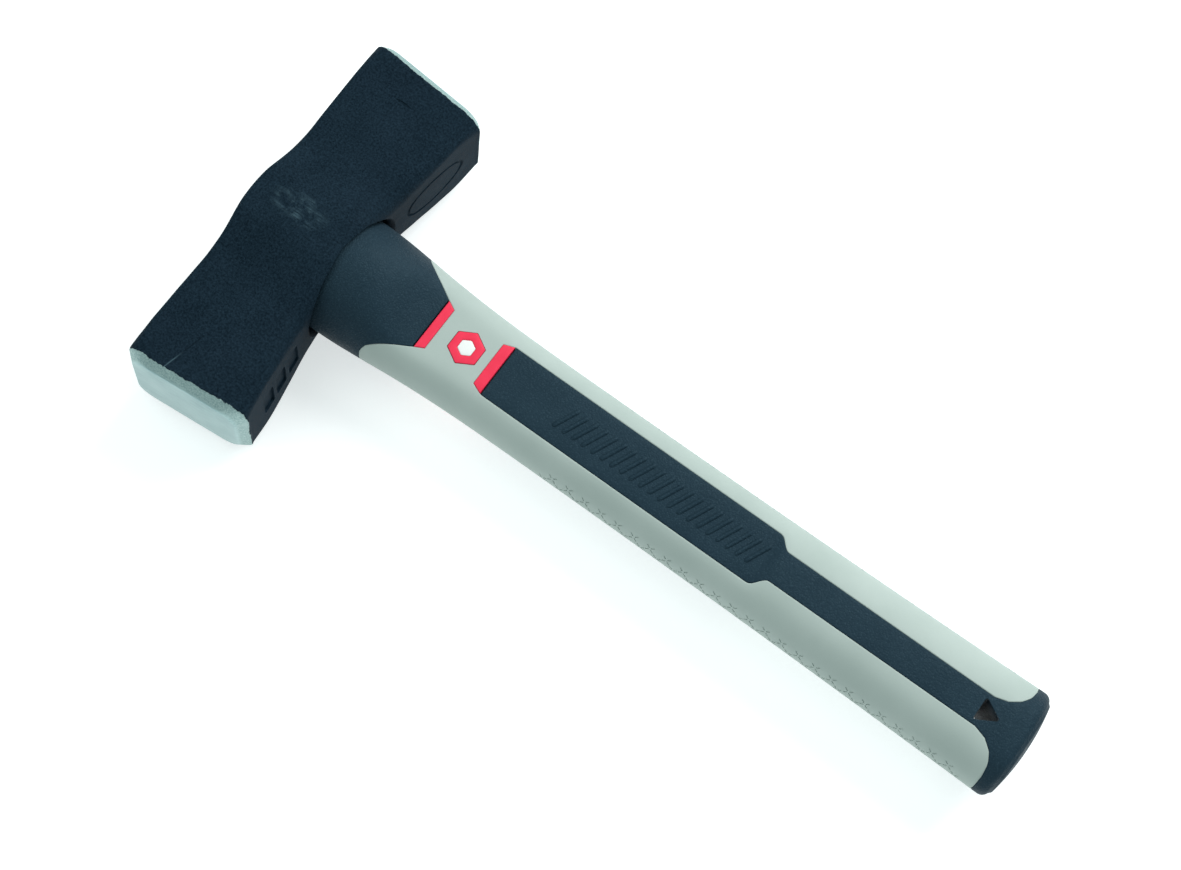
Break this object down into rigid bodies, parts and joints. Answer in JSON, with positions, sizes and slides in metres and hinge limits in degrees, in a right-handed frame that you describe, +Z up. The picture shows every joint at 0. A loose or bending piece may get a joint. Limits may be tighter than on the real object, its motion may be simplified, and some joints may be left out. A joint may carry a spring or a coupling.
{
  "type": "club sledgehammer",
  "caption": "Short double-faced club sledgehammer: forged steel head with a bossed oval eye, on an oval two-material handle with a round collar and a hanging hole.",
  "frame": {"origin": "under the middle of the whole hammer as it lies on its side, level with the lower side of the boss", "axes": "+X along the handle from the head to the butt, Y along the head from face to face, +Z up out of the upper cheek"},
  "size_m": [0.2724, 0.1228, 0.043],
  "materials": {
    "forged_steel": "matt dark paint on forged steel, with ground bright striking faces",
    "epoxy": "set epoxy, slightly glossy",
    "glass_fibre": "glass fibre in resin, cut end",
    "dark_plastic": "finely spark-textured",
    "pale_rubber": "soft matt overmould with an incised cross pattern",
    "red_plastic": "satin",
    "white_plastic": "satin"
  },
  "bodies": {
    "root": {"hammer_head": "forged_steel", "eye_bond": "epoxy", "fibre_core": "glass_fibre", "handle_jacket": "dark_plastic", "soft_grip": "pale_rubber", "neck_bar_front": "red_plastic", "neck_bar_rear": "red_plastic", "panel_bar_front": "red_plastic", "panel_bar_rear": "red_plastic", "badge_front": "red_plastic", "badge_rear": "red_plastic", "badge_inlay_front": "white_plastic", "badge_inlay_rear": "white_plastic"}
  },
  "joints": []
}
